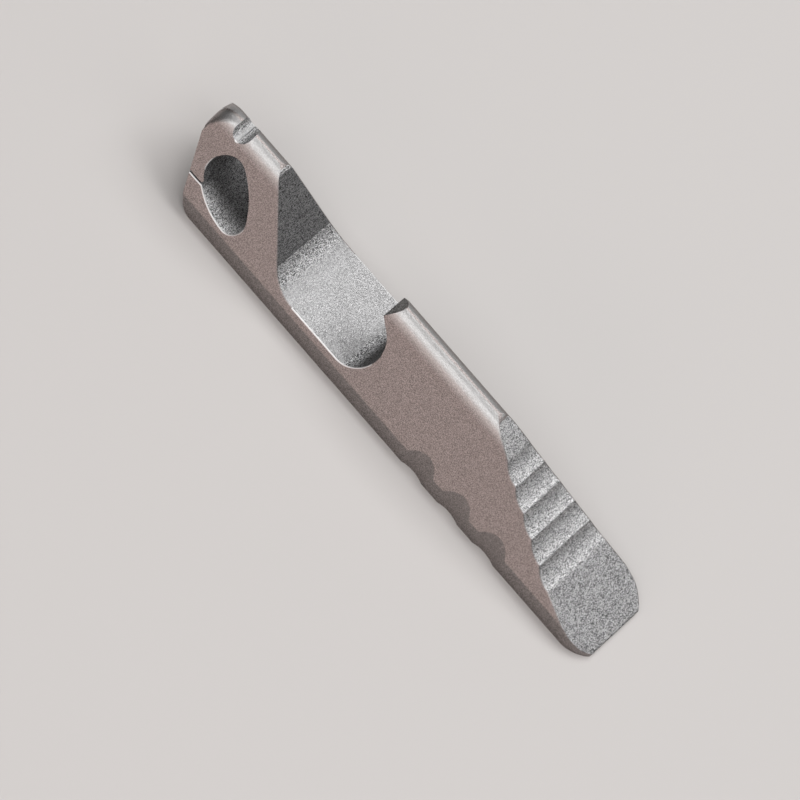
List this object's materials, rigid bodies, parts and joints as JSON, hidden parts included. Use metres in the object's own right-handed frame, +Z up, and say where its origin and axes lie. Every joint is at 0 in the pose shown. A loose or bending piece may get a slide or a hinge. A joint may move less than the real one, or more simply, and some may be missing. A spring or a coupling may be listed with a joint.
{
  "type": "keychain bottle opener",
  "caption": "One-piece titanium bottle opener and pry bar with a ring eye at one end, a hooked cap notch, a scooped thumb slope and a flat pry blade.",
  "frame": {"origin": "middle of the flat underside", "axes": "+X along the bar towards the pry blade, +Y across the bar, +Z up from the underside to the ridge"},
  "size_m": [0.0802, 0.0136, 0.0129],
  "materials": {
    "titanium": "bare titanium: fine bead-blasted flanks, wire-cut grain on the cut faces"
  },
  "bodies": {
    "root": {"opener_body": "titanium"}
  },
  "joints": []
}
